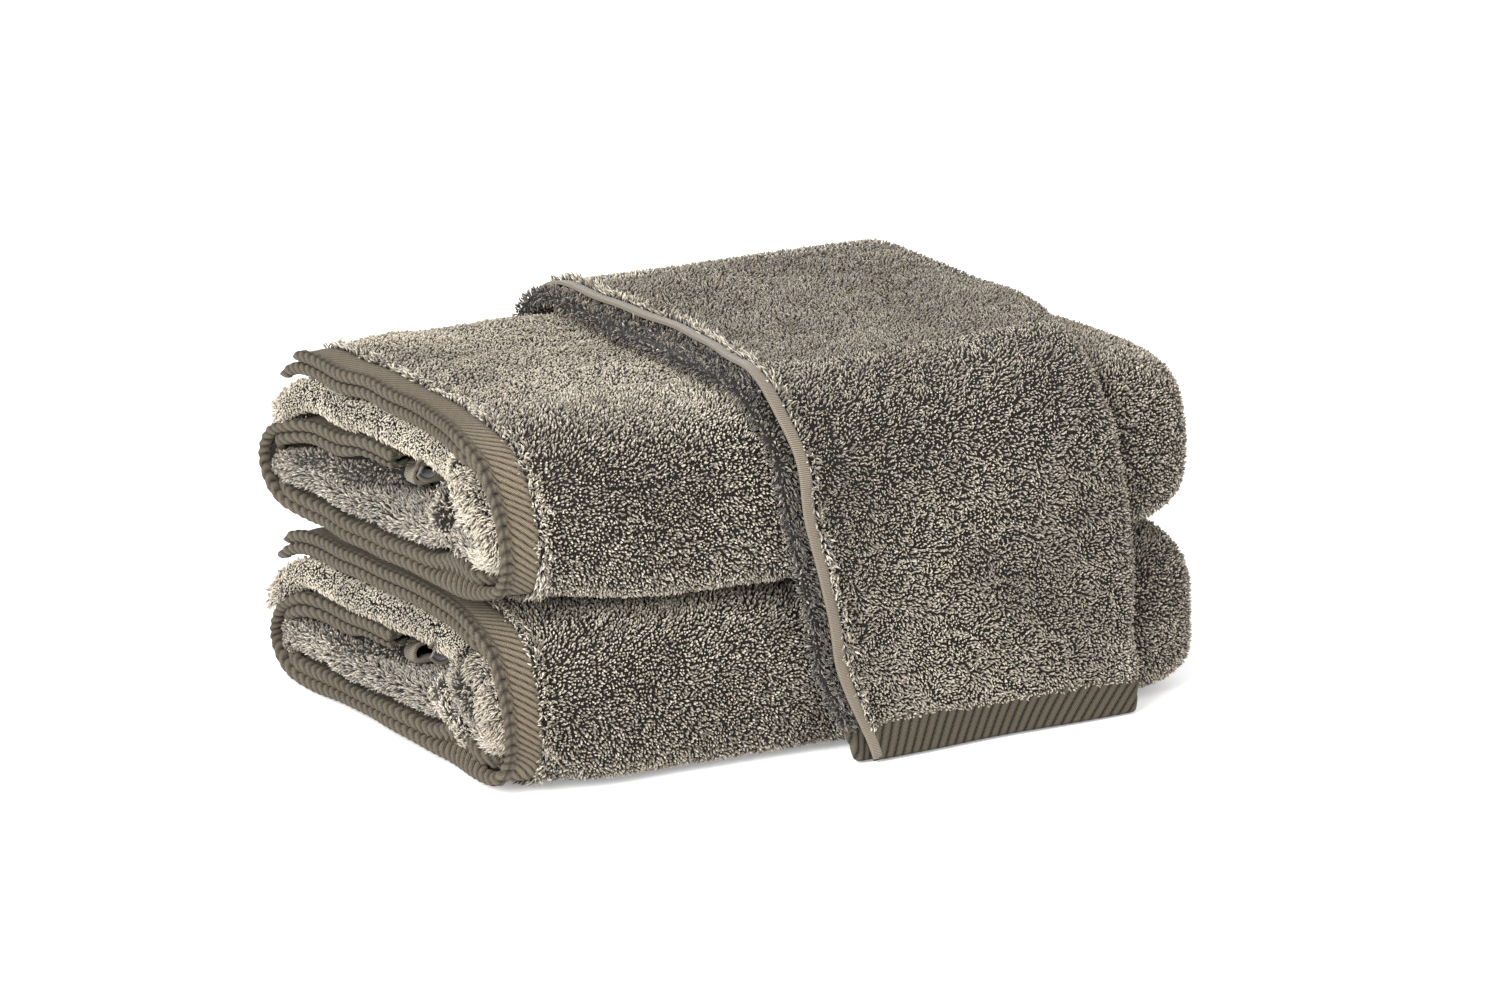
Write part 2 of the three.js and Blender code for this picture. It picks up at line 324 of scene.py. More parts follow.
@dataclass(frozen=True)
class Twill:
    """Ribbed cotton twill, woven flat: fine slanting threads on pale ribs, with dark grooves whose darkness
    is painted shade.
    """

    name: str = "ribbed_cotton_twill"
    # Painted shade: this colour is mixed into the bottoms of the grooves.
    groove: str = "0f0c08"
    dark: str = "2b251b"
    light: str = "978973"
    thread: float = 0.8 * MM
    slant: float = 0.6
    speck: float = 0.45 * MM
    speckled: float = 0.65

    def material(self) -> bpy.types.Material:
        """Builds the material: shade 0 is the bottom of a groove and 1 the top of a rib, and the groove
        colour mixed in towards 0 is painted shade.
        """
        material, shader = new_material(self.name, 0.9, 0.04)
        tree = material.node_tree
        place = on_cloth(tree)
        turned = add_node(tree, "Mapping", {"Rotation": (0.0, 0.0, self.slant)}, {"Vector": place})
        lines = threads(tree, turned.outputs[0], "X", self.thread, 0.8, 1.0)
        specks = add_node(tree, "TexNoise", {"Scale": 1 / self.speck, "Detail": 2.0}, {"Vector": place})
        wide = add_node(tree, "MapRange", {"From Min": 0.32, "From Max": 0.68},
                        {"Value": specks.outputs["Fac"]})
        scaled = add_node(tree, "Math", {"operation": "MULTIPLY", 1: self.speckled}, {0: wide.outputs[0]})
        mixed = add_node(tree, "Math", {"operation": "MULTIPLY_ADD", 1: 1 - self.speckled},
                         {0: lines, 2: scaled.outputs[0]})
        body = ramp(tree, mixed.outputs[0], [(0.0, self.dark), (1.0, self.light)])
        # The groove colour is mixed in as painted shade where the vertex shade is low.
        mask = add_node(tree, "MapRange", {"From Min": 0.1, "From Max": 0.95}, {"Value": shade_of(tree)})
        colour = add_node(tree, "Mix", {"data_type": "RGBA", 6: linear(self.groove)},
                          {0: mask.outputs[0], 7: body.outputs["Color"]})
        finished(shader, colour.outputs[2], lines, 0.9, 0.4 * MM)
        return material


@dataclass(frozen=True)
class HemTape:
    """Side hem: the ground cloth turned under twice and pressed flat, a close plain weave."""

    name: str = "pressed_cotton_hem"
    # Painted shade: this near black is mixed in where the vertex shade is low, inside the rolled hem.
    groove: str = "080604"
    dark: str = "4f483b"
    light: str = "81776a"
    thread: float = 0.8 * MM

    def material(self) -> bpy.types.Material:
        """Builds the material: fine cross threads with a little unevenness, with the near-black groove colour
        mixed in as painted shade where the vertex shade is low.
        """
        material, shader = new_material(self.name, 0.8, 0.2)
        tree = material.node_tree
        lines = threads(tree, on_cloth(tree), "X", self.thread, 1.2)
        body = ramp(tree, lines, [(0.0, self.dark), (1.0, self.light)])
        colour = add_node(tree, "Mix", {"data_type": "RGBA", 6: linear(self.groove)},
                          {0: shade_of(tree), 7: body.outputs["Color"]})
        finished(shader, colour.outputs[2], lines, 0.5, 0.2 * MM)
        return material


class Finish(Enum):
    """The finishes of the set, with the record's slot that each one belongs to."""

    LOOPS = (TerryLoops(), "terry_cotton")
    GROUND = (GroundWeave(), "terry_cotton")
    TWILL = (Twill(), "twill_border")
    TAPE = (HemTape(), "side_hem")

    def apply(self, piece: bpy.types.Object) -> None:
        """Gives piece this finish."""
        recipe, slot = self.value
        material = bpy.data.materials.get(recipe.name) or recipe.material()
        piece.data.materials.clear()
        piece.data.materials.append(material)


# ---------------------------------------------------------------- pile

@dataclass
class PilePatch:
    """A stretch of cloth that carries loops.

    Attributes:
        cloth: maps (along, across, height) to a place, in metres.
        along: the range of the first coordinate.
        across: the range of the second coordinate.
        keep: says which loops to keep, from their (along, across).
        lean: a steady lean of the loops as (along, across), on top of their own.
        lay: how flat the loops lie, from 0 for upright.
        tone: how much lighter they are than usual, which on many patches is painted light or painted shade.
        vary: how much their tones differ.
        length: the usual length of a loop.
        spacing: between neighbouring loops.
        full: how thick they are, where 1 is usual.
    """

    cloth: ClothMap
    along: tuple[float, float]
    across: tuple[float, float]
    keep: Callable[[Array, Array], Array] | None = None
    lean: tuple[float, float] = (0.0, 0.0)
    lay: float = 0.45
    tone: float = 0.0
    vary: float = 0.14
    length: float = 3.0 * MM
    spacing: float = 1.6 * MM
    full: float = 1.0


@dataclass
class Pile:
    """Terry loops as small closed beads, rooted in the cloth and leaning in slow drifts, each darkened at its
    root by painted shade and lightened at its tip by a painted highlight.
    """

    name: str
    seed: int
    radius: float = 0.58 * MM
    rooted: float = 0.3 * MM
    drift: float = 26 * MM
    # Painted shade darkens each loop's root and a painted highlight lightens its tip, for the shadow between
    # the loops and the light on their tops.
    PAINTED_ROOT_SHADE = -0.68
    PAINTED_TIP_HIGHLIGHT = 0.36

    def grown_on(self, patches: list[PilePatch]) -> bpy.types.Object:
        """Grows the loops on all patches as one piece."""
        rng = np.random.default_rng(self.seed)
        flow = Ripple(self.seed + 1, self.drift, 1.0)
        grown = [self.loops(patch, rng, flow) for patch in patches]
        points = np.concatenate([g[0] for g in grown])
        shade = np.concatenate([g[1] for g in grown])
        bead = np.array([[0, 2, 1], [0, 3, 2], [0, 1, 3], [4, 1, 2], [4, 2, 3], [4, 3, 1]])
        faces = (bead[None] + 5 * np.arange(len(points) // 5)[:, None, None]).reshape(-1, 3)
        piece = mesh_piece(self.name, points, faces, shade=shade)
        Finish.LOOPS.apply(piece)
        return piece

    def loops(self, patch: PilePatch, rng: np.random.Generator, flow: Ripple) -> tuple[Array, Array]:
        """Returns the points and tones of one patch's loops, five points to a loop."""
        step = patch.spacing
        rows = np.arange(patch.along[0], patch.along[1], step)
        columns = np.arange(patch.across[0], patch.across[1], step)
        a, b = (g.ravel() for g in np.meshgrid(rows, columns, indexing="ij"))
        a = a + rng.uniform(-0.45, 0.45, a.size) * step
        b = b + rng.uniform(-0.45, 0.45, b.size) * step
        if patch.keep is not None:
            kept = patch.keep(a, b)
            a, b = a[kept], b[kept]
        zero = np.zeros_like(a)
        small = 0.5 * MM
        root = patch.cloth(a, b, zero)
        normal = unit(patch.cloth(a, b, zero + small) - root)
        along = unit(patch.cloth(a + small, b, zero) - root)
        side = unit(np.cross(normal, along))
        drifted = flow.at(root)
        angle = 2.6 * drifted[:, 0] + rng.normal(0, 0.8, a.size)
        amount = patch.lay * np.clip(1 + 0.3 * drifted[:, 1] + rng.normal(0, 0.3, a.size), 0.2, 1.8)
        flat = (np.cos(angle) * amount + patch.lean[0])[:, None] * along
        flat += (np.sin(angle) * amount + patch.lean[1])[:, None] * side
        reach = (patch.length * rng.uniform(0.75, 1.25, a.size))[:, None]
        foot = root - self.rooted * normal
        knee = foot + 0.62 * reach * unit(normal + 0.5 * flat)
        tip = knee + 0.38 * reach * unit(0.6 * normal + 1.1 * flat)
        axis = unit(tip - foot)
        wide = unit(np.cross(axis, along + 0.3 * side))
        thin = np.cross(axis, wide)
        turn = rng.uniform(0, 2 * math.pi, a.size)
        thick = self.radius * rng.uniform(0.8, 1.2, a.size) * patch.full
        tip[:, 2] = np.maximum(tip[:, 2], 0.4 * MM)
        knee[:, 2] = np.maximum(knee[:, 2], 0.9 * MM)
        foot[:, 2] = np.maximum(foot[:, 2], 0.2 * MM)
        points = np.empty((a.size, 5, 3))
        points[:, 0] = foot
        points[:, 4] = tip
        for k in range(3):
            spin = turn + k * 2 * math.pi / 3
            around = np.cos(spin)[:, None] * wide + np.sin(spin)[:, None] * thin
            points[:, 1 + k] = knee + thick[:, None] * around
        shade = np.repeat(0.5 + patch.tone + rng.normal(0, patch.vary, a.size), 5).reshape(-1, 5)
        # Painted shade at the root, painted highlight at the tip.
        shade[:, 0] += self.PAINTED_ROOT_SHADE
        shade[:, 4] += self.PAINTED_TIP_HIGHLIGHT
        return points.reshape(-1, 3), np.clip(shade, 0.0, 1.0).ravel()


# ---------------------------------------------------------------- hems and borders

@dataclass
class ClothStrip:
    """A narrow closed strip of cloth: a hem, a border or a tape.

    Attributes:
        cloth: maps (along, across, height) to a place.
        along: the range of the strip's length.
        section: the outline of its cut end as (across, height), closed, in metres.
        step: spacing of the rings.
        rib: the spacing of its ribs along the strip, or 0 for none.
        slant: how far a rib runs along the strip for each unit it runs across it.
        rope: how much of its near edge is a rope, where the ribs cross more steeply.
        relief: how deep the grooves between ribs are, which are over twice as deep on the rope.
        tone: how light the tops of the ribs are, where 1 is usual, for all of its outline or each point.
        blunt: whether its ends are cut square, not rounded.
    """

    cloth: ClothMap
    along: tuple[float, float]
    section: Array
    step: float
    rib: float = 0.0
    slant: float = 0.0
    rope: float = 0.0
    relief: float = 0.0
    tone: float | Array = 1.0
    blunt: bool = False
    BEAD = 1.45
    ROPE_TONE = 0.72
    ROPE_RELIEF = 2.2

    def build(self, name: str, finish: Finish) -> bpy.types.Object:
        """Sweeps the section along the strip, with ribs and rounded ends."""
        section = self.section
        loop = np.vstack([section, section[:1]])
        around = running_length(loop)[:-1]
        outward = unit(np.roll(section, -1, 0) - np.roll(section, 1, 0))
        outward = np.stack([outward[:, 1], -outward[:, 0]], axis=1)
        count = max(4, int(round((self.along[1] - self.along[0]) / self.step)))
        along = np.linspace(self.along[0], self.along[1], count + 1)
        thickness = np.ptp(section[:, 1])
        near = np.minimum(along - self.along[0], self.along[1] - along) / (0.6 * thickness)
        close = np.sqrt(np.clip(1 - (1 - np.clip(near, 0, 1)) ** 2, 0.02, 1))
        middle = section[:, 1].mean()
        a = np.repeat(along[:, None], len(section), 1)
        shift = self.slant * np.maximum(section[:, 0] - self.rope, 0) + 0.9 * section[:, 1]
        on_rope = section[None, :, 0] < self.rope
        tone = self.tone * np.where(on_rope & bool(self.rib), self.ROPE_TONE, 1.0)
        depth = np.where(on_rope, self.bead(a + shift[None, :]), self.groove(a + shift[None, :]))
        relief = depth * self.relief * np.where(on_rope, self.ROPE_RELIEF, 1.0)
        across = section[None, :, 0] - outward[None, :, 0] * relief
        height = section[None, :, 1] - outward[None, :, 1] * relief
        if not self.blunt:
            height = middle + (height - middle) * close[:, None]
        points = self.cloth(a.ravel(), across.ravel(), height.ravel())
        size = (len(along), len(section))
        faces = np.vstack([grid_faces(*size, True), self.cap_faces(*size)])
        uv = np.stack([a.ravel(), np.tile(around, len(along))], axis=1)
        # The vertex shade darkens the grooves as painted shade; tone sets how light the ribs are.
        shade = (tone * (1 - depth)).ravel()
        piece = mesh_piece(name, points, facing_out(points, faces), uv=uv, shade=shade)
        finish.apply(piece)
        return piece

    def groove(self, place: Array) -> Array:
        """Returns how deep in a groove each place is, from 0 on a rib to 1 at a groove's bottom."""
        if not self.rib:
            return np.zeros(place.shape)
        phase = (place / self.rib) % 1.0 - 0.5
        return 0.75 * np.exp(-(phase / 0.11) ** 2) + 0.25 * (1 - 4 * phase * phase)

    def bead(self, place: Array) -> Array:
        """Returns the same on the rope, which is a row of round beads."""
        if not self.rib:
            return np.zeros(place.shape)
        phase = np.abs((place / (self.BEAD * self.rib)) % 1.0 - 0.5) * 2
        return 1 - np.sqrt(np.clip(1 - (1 - phase) ** 0.9, 0, 1))

    @staticmethod
    def cap_faces(rows: int, columns: int) -> Array:
        """Returns quads that close both ends of the strip, from one long side to the other."""
        half = columns // 2
        caps = []
        for start, flip in ((0, False), ((rows - 1) * columns, True)):
            for k in range(half - 1):
                quad = [start + k, start + k + 1, start + columns - 2 - k, start + columns - 1 - k]
                caps.append(quad[::-1] if flip else quad)
        return np.array(caps)


def flat_section(width: float, thickness: float, steps: int) -> Array:
    """Returns the closed outline of a flat hem with rounded edges, with an even number of points."""
    radius = thickness / 2
    upper = np.stack([np.linspace(radius, width - radius, steps), np.full(steps, radius)], axis=1)
    lower = upper[::-1] * (1, -1)
    right = arc((width - radius, 0.0), radius, 90, -90, 6)[1:-1]
    left = arc((radius, 0.0), radius, -90, -270, 6)[1:-1]
    return np.vstack([upper, right, lower, left])[::-1]


# ---------------------------------------------------------------- folded cloth

class FoldedCloth:
    """A sheet folded in layers. Its layers are a path in (across, depth), carried along a curve.

    A place on it is (s, u, h): s along the curve, u along the fold path, h off the sheet on its
    pile side, all in metres.
    """

    RIPPLES = (Ripple(3, 130 * MM, 0.7 * MM), Ripple(4, 50 * MM, 0.25 * MM))
    SAG = 5 * MM
    SETTLE = 18 * MM

    def __init__(self, path: Array, flat: tuple[float, float]) -> None:
        """Measures the fold path.

        Args:
            path: the middle of the sheet as (across, depth) points.
            flat: the sheet's size laid out flat; stored, and not used.
        """
        self.path = path
        self.flat = flat
        self.reach = running_length(path)
        along = unit(np.gradient(path, self.reach, axis=0))
        self.normal = np.stack([along[:, 1], -along[:, 0]], axis=1)

    def place(self, s: Array, x: Array, t: Array) -> Array:
        """Returns the places at s along the curve, x across it and t inside it."""
        raise NotImplementedError

    def cloth(self, s: Array, u: Array, h: Array) -> Array:
        """Returns the places at s along the curve and u along the folds, h off the sheet."""
        x, t, nx, nt = (np.interp(u, self.reach, v) for v in (*self.path.T, *self.normal.T))
        return self.place(s, x + nx * h, t + nt * h)

    def settled(self, points: Array) -> Array:
        """Returns the points moved as the stack sags unevenly, but not off the surface it rests on."""
        moved = sum(ripple.at(points) for ripple in self.RIPPLES)
        moved[..., 2] *= smoothstep(points[..., 2] / self.SETTLE)
        middle = smoothstep((points[..., 0] + 170 * MM) / (90 * MM))
        moved[..., 2] -= self.SAG * middle * smoothstep(points[..., 2] / (60 * MM))
        points = points + moved
        points[..., 2] = np.maximum(points[..., 2], 0.3 * MM)
        return points

    def sheet(self, name: str, starts: Callable[[Array], Array], end: float,
              step: float) -> bpy.types.Object:
        """Makes the sheet itself.

        Args:
            name: the piece's name.
            starts: gives s at the near edge for each u.
            end: s at the far edge.
            step: the usual size of its faces.
        """
        turning = np.linalg.norm(np.gradient(self.normal, self.reach, axis=0), axis=1)
        weight = np.concatenate([[0.0], np.cumsum(np.diff(self.reach) * (1 / step + 0.55 * turning[1:]))])
        u = np.interp(np.linspace(0, weight[-1], int(weight[-1]) + 1), weight, self.reach)
        share = np.linspace(0, 1, int((end - starts(u[:1])[0]) / step) + 1)
        s = starts(u)[None, :] * (1 - share[:, None]) + end * share[:, None]
        uu = np.broadcast_to(u[None, :], s.shape)
        points = self.cloth(s.ravel(), uu.ravel(), np.zeros(s.size))
        uv = np.stack([s.ravel(), uu.ravel()], axis=1)
        piece = mesh_piece(name, points, grid_faces(*s.shape, False), uv=uv)
        Finish.GROUND.apply(piece)
        return piece


class SectionCurve:
    """A curve in the YZ plane with the normals that point inside it."""

    def __init__(self, points: Array, smooth: int) -> None:
        """Takes the curve's points, and averages its normals over smooth points on each side."""
        self.points = points
        padded = np.pad(points, ((smooth, smooth), (0, 0)), mode="reflect", reflect_type="odd")
        along = unit(padded[2 * smooth:] - padded[:-2 * smooth])
        self.normals = np.stack([-along[:, 1], along[:, 0]], axis=1)
        self.reach = running_length(points)

    def at(self, index: Array) -> tuple[Array, Array]:
        """Returns the points and normals at fractional places in the list of points."""
        steps = np.arange(len(self.points))
        point = np.stack([np.interp(index, steps, column) for column in self.points.T], axis=-1)
        normal = np.stack([np.interp(index, steps, column) for column in self.normals.T], axis=-1)
        return point, unit(normal)


@dataclass(frozen=True)
class TowelSize:
    """Sizes of a folded bath towel.

    Attributes:
        length: from the hemmed end to the folded end.
        half_depth: from its middle to its front.
        height: of the folded towel.
        skew: how far the hemmed end slants for each unit from front to back.
        centre: the middle of the row, from the hemmed end.
        hem_width: of the twill border at its end.
        hem_thickness: of one border.
        layers: the depths of its four layers of cloth.
        end_blend: how far in from the hemmed end the loose shape of that end reaches.
        rounding: how far in from the folded end its corners are rounded.
        squeeze: how far those corners are pressed in.
        tape: width of the side hem.
        stagger: how far the free edge of each layer reaches past the first, at the hemmed end.
    """

    length: float = 395 * MM
    half_depth: float = 135 * MM
    height: float = 88.4 * MM
    skew: float = 0.1
    centre: float = 190.55 * MM
    hem_width: float = 20 * MM
    hem_thickness: float = 6.0 * MM
    layers: tuple[float, float, float, float] = (3.4 * MM, 10.4 * MM, 17.6 * MM, 26.6 * MM)
    end_blend: float = 60 * MM
    rounding: float = 64 * MM
    squeeze: float = 29 * MM
    tape: float = 9 * MM
    stagger: tuple[float, float, float, float] = (0.0, 18 * MM, 29 * MM, 34 * MM)

    def fold_path(self) -> Array:
        """Returns the path of the cloth through its layers, from one twill border to the other."""
        first, second, third, fourth = self.layers
        border = self.hem_thickness / 2
        far = self.length - 15.5 * MM
        outer, inner, nose = (fourth - first) / 2, (third - second) / 2, (fourth - third) / 2
        return np.vstack([
            [(4 * MM, border), (18 * MM, border), (30 * MM, first)],
            arc((far, first + outer), outer, -90, 90, 16),
            arc((6.8 * MM, third + nose), nose, 90, 270, 12),
            arc((far - 12 * MM, second + inner), inner, 90, -90, 8),
            [(30 * MM, second), (18 * MM, 3 * border), (4 * MM, 3 * border)],
        ])


# Each towel's outline from its free edge over the top, down the front, along the bottom, round
# the back and in to its tucked edge, as (y, z) in millimetres. The matching points of the loose
# hemmed end come first, and then those of the body.
BODY_OUTLINE = [
    (168, 72), (141, 81), (114, 86), (70, 89), (0, 90), (-60, 89.5), (-97, 88), (-121, 81),
    (-133, 66), (-137, 46), (-137, 24), (-132, 6), (-117, 0.5), (-70, 0), (0, 0), (60, 0),
    (100, 0), (120, 3), (132, 14), (134.5, 30), (128, 46), (110, 56), (90, 59), (46, 59.5), (1, 60),
]
LOWER_END = [
    (168, 46), (140, 66), (112, 77), (68, 80), (0, 82), (-48, 81), (-75, 78), (-100, 70),
    (-117, 57), (-127, 43), (-131, 27), (-127, 14), (-110, 3), (-68, 2), (0, 3), (60, 2),
    (97, 0.5), (126, 1), (144, 9), (149, 21), (140, 34), (121, 42), (94, 48), (46, 52), (0, 53),
]
UPPER_END = [
    (168, 46), (140, 66), (112, 78), (68, 81), (0, 82), (-45, 81), (-70, 78), (-94, 69),
    (-110, 56), (-120, 43), (-126, 25), (-121, 11), (-106, 2), (-66, -3.5), (0, -4.5), (60, -4.5),
    (103, -5), (133, -4), (151, 5), (156, 20), (146, 34), (124, 42), (95, 47), (46, 51), (-2, 52),
]


class BathTowel(FoldedCloth):
    """One bath towel: folded in four along its length, then over from the back round an open pocket.

    FREE to BACK_TOP number the outline's points where its parts begin. The inner hem steps back
    by STEP_BACK in STEPPED_BACK. At the hemmed end the tucked edge moves by TUCK_IN and TUCK_UP,
    and the layers part by PARTING. ABOVE is how much of the rounding is taken from the top.
    """

    PER_SPAN = 10
    FLAT = (0.76, 1.52)
    STEP_BACK = 6 * MM
    STEPPED_BACK = ((6.2, 12), (16.4, 19.6))
    TUCK_IN, TUCK_UP = 11 * MM, 7 * MM
    PARTING = 9 * MM
    ABOVE = 0.68
    GIRTH = 9 * MM
    UNDER_HAND_TOWEL = (185 * MM, 310 * MM)
    COARSE = {"spacing": 2.5 * MM, "full": 1.5}
    # Painted shade: INSIDE gives the loops inside the folds a slightly darker tone.
    INSIDE = {"lay": 0.5, "tone": -0.05, "spacing": 3.0 * MM, "full": 1.7}
    FREE, TOP_FRONT, FRONT_BOTTOM, FLOOR_FRONT, FLOOR_BACK, BACK_TOP = 2, 5, 12, 13, 16, 22

    def __init__(self, prefix: str, size: TowelSize, end: list[tuple[float, float]], lift: float,
                 seed: int) -> None:
        """Lays out the towel.

        Args:
            prefix: starts the names of its pieces, and of its CAD body.
            size: its sizes.
            end: the outline of its hemmed end.
            lift: height of its bottom above the surface.
            seed: picks its own unevenness.
        """
        self.size = size
        super().__init__(self.size.fold_path(), self.FLAT)
        self.prefix = prefix
        self.lift = lift
        self.seed = seed
        self.body = SectionCurve(curve_through(np.array(BODY_OUTLINE) * MM, self.PER_SPAN), 7)
        self.end = SectionCurve(curve_through(np.array(end) * MM, self.PER_SPAN), 7)
        self.own = Ripple(seed, 90 * MM, 0.4 * MM)
        self.sheet_end = float(self.body.reach[-1])

    def stop(self, point: float) -> float:
        """Returns s at one of the outline's numbered points."""
        return float(np.interp(point * self.PER_SPAN, np.arange(len(self.body.reach)), self.body.reach))

    def free_edge(self, t: Array) -> Array:
        """Returns s at the free edge of the cloth at depth t: deeper layers reach further out."""
        depths = np.array([3.0, 9.0, 14.0, 26.0]) * MM
        return self.stop(self.FREE) - np.interp(t, depths, self.size.stagger)

    def starts(self, u: Array) -> Array:
        """Returns s at the free edge for each u."""
        return self.free_edge(np.interp(u, self.reach, self.path[:, 1]))

    def place(self, s: Array, x: Array, t: Array) -> Array:
        """Returns the places at s along the outline, x from the hemmed end and t inside it."""
        size = self.size
        near = 1 - smoothstep(x / size.end_blend)
        past = np.minimum(s - self.stop(self.FREE), 0)
        s = s - past * (1 - near) * 0.6
        index = np.interp(s, self.body.reach, np.arange(len(self.body.reach)))
        tuck = smoothstep((s - self.sheet_end + 55 * MM) / (50 * MM)) * near
        tuck = tuck * smoothstep((t - 8 * MM) / (6 * MM))
        x = x + self.TUCK_IN * tuck
        t = t - self.TUCK_UP * tuck
        end, end_normal = self.end.at(index)
        body, body_normal = self.body.at(index)
        share = smoothstep(x / size.end_blend)[..., None]
        parting = np.exp(-((s - self.stop(12.9)) / (26 * MM)) ** 2) * smoothstep((t - 4.6 * MM) / (3 * MM))
        parting *= self.PARTING * near
        normal = unit(end_normal * (1 - share) + body_normal * share)
        yz = end * (1 - share) + body * share + normal * (t + parting)[..., None]
        over = np.clip((x - size.length + size.rounding) / size.rounding, 0, 1)
        inset = size.squeeze * (1 - (1 - over ** 2.6) ** (1 / 2.2))
        middle = size.height / 2
        y = yz[..., 0] * (1 - inset / size.half_depth)
        above = np.where(yz[..., 1] > middle, self.ABOVE, 1.0)
        z = middle + (yz[..., 1] - middle) * (1 - above * inset / middle)
        x = x + size.skew * y * (1 - x / size.length) - size.centre
        points = np.stack([x, y, z + self.lift], axis=-1)
        loose = self.own.at(points) * (1 - share)
        loose[..., 2] *= smoothstep(z / self.SETTLE)
        return self.settled(points + loose)

    def hem(self, name: str, inner: bool) -> bpy.types.Object:
        """Makes a twill border: a rounded rope at its edge and a flat ribbed band beside it."""
        size = self.size
        section = flat_section(size.hem_width, size.hem_thickness + 0.5 * MM, 17)
        section[:, 1] *= 1 - 0.55 * smoothstep((section[:, 0] - 4.5 * MM) / (3 * MM))
        depth = size.hem_thickness * (1.5 if inner else 0.5)
        begin = float(self.free_edge(np.array(depth)))
        back = self.STEP_BACK if inner else 0.0

        def cloth(a: Array, b: Array, h: Array) -> Array:
            """Follows the hemmed end, and steps back where the inner hem lies behind the outer."""
            behind = 0.0
            for first, last in self.STEPPED_BACK:
                rise = smoothstep((a - self.stop(first)) / (30 * MM))
                behind = behind + rise * (1 - smoothstep((a - self.stop(last)) / (20 * MM)))
            return self.place(a, b + back * behind, depth - h)

        strip = ClothStrip(cloth, (begin, self.sheet_end), section, 1.0 * MM,
                           rib=4.6 * MM, slant=-0.95, rope=5 * MM, relief=0.7 * MM)
        return strip.build(name, Finish.TWILL)

    def tape(self, name: str, free: bool) -> bpy.types.Object:
        """Makes the pressed hem along one side of the cloth, which follows all its folds."""
        section = flat_section(self.size.tape, 2.6 * MM, 5)
        span = (20 * MM, float(self.reach[-1]) - 20 * MM)

        def cloth(u: Array, across: Array, h: Array) -> Array:
            """Follows one edge of the sheet."""
            near = self.starts(u) - 0.5 * MM
            return self.cloth(near + across if free else self.sheet_end + 0.5 * MM - across, u, h)

        return ClothStrip(cloth, span, section, 3.0 * MM).build(name, Finish.TAPE)

    def pile(self) -> list[bpy.types.Object]:
        """Grows the loops wherever the cloth can be seen, at rest or lifted apart."""
        size, stop = self.size, self.stop
        nose_end = self.u_at_nose() + 8 * MM
        turn_end = nose_end - 20 * MM - (size.length - 30 * MM)
        free, last = stop(self.FREE) + 1 * MM, self.sheet_end - 9 * MM
        first = 17.5 * MM

        def near_end(s: Array, u: Array) -> Array:
            """Leaves out the underside, except near its two ends."""
            ends = (u < 45 * MM) | (u > turn_end - 75 * MM)
            return (s < stop(self.FLOOR_FRONT)) | (s > stop(self.FLOOR_BACK)) | ends

        def outside(name: str, begin: float, end: float, step: int, spacing: float, lay: float = 0.7,
                    lean: tuple[float, float] = (0.0, 0.0), vary: float = 0.16) -> bpy.types.Object:
            """Grows one side's loops, with fewer of them where other cloth hides them, and painted shade on
            the underside and along the bottom of the front.
            """
            under = name == "bottom"
            unseen = under or (name.startswith("top") and self.prefix == "lower")
            shaded = 9 * MM if name == "front" else 0.0
            left, right = self.UNDER_HAND_TOWEL
            patches = []
            parts = (((first, left), unseen), ((left, right), True), ((right, turn_end), unseen))
            for across, coarse in parts:
                density = self.COARSE if coarse else {"spacing": spacing, "full": 1.05}
                # Painted shade: loops on the underside are darker, here and in the row along the edge below.
                patches.append(PilePatch(self.cloth, (begin, end - shaded), across, near_end, lean, lay,
                                         -0.25 if under else 0.0, vary, **density))
            patches.append(PilePatch(self.cloth, (begin, end), (first - 2 * MM, first + 3 * MM), near_end,
                                     lay=0.9, lean=(0.2, -0.6), vary=0.2, length=5.5 * MM,
                                     tone=-0.35 if under else 0.0))
            # Painted shade on the lowest strip of the front, where it turns under towards the cloth below.
            if shaded:
                patches.append(PilePatch(self.cloth, (end - shaded, end), (first, turn_end), near_end,
                                         lay=0.7, lean=(0.9, 0.0), tone=-0.4, spacing=spacing))
            return Pile(f"{self.prefix}_{name}_loops", self.seed + step).grown_on(patches)

        def other_side(s: Array, u: Array, h: Array) -> Array:
            """Places loops below the sheet instead of above it."""
            return self.cloth(s, u, -h)

        def beside_tape(s: Array, u: Array) -> Array:
            """Keeps a narrow row of loops beside the side hem."""
            return (s > self.starts(u) + 7 * MM) & (s < self.starts(u) + 20 * MM)

        def pocket(s: Array, u: Array) -> Array:
            """Keeps what shows inside the pocket and along the fold in front of it."""
            inside = (s > stop(6)) & (s < stop(15))
            return inside | (u > nose_end - 28 * MM)

        nose = self.u_at_nose()
        early, hairy = stop(self.FREE) - self.size.stagger[3] - 1 * MM, 5 * MM
